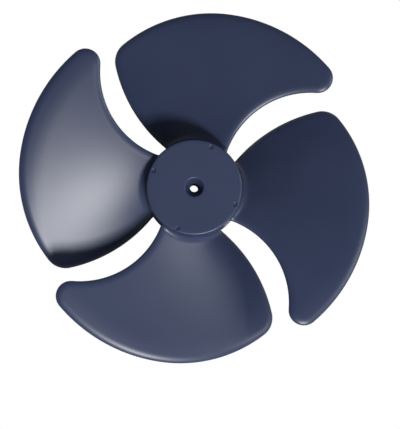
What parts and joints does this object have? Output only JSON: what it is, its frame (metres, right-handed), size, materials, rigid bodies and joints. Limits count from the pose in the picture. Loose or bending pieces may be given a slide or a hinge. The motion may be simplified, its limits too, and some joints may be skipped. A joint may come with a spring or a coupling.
{
  "type": "fan blade",
  "caption": "Moulded axial fan with swept, twisted blades on an open-backed hub cup, pressed onto a thin motor shaft.",
  "frame": {"origin": "on the shaft axis, in the plane of the hub's back rim, which is the lowest point", "axes": "+Z along the shaft axis, from the open back of the hub to its closed face; seen from +Z the fan turns clockwise"},
  "size_m": [0.083, 0.083, 0.0178],
  "materials": {
    "moulded_plastic": "smooth moulded, glossy, dark navy"
  },
  "bodies": {
    "root": {"fan": "moulded_plastic"}
  },
  "joints": []
}
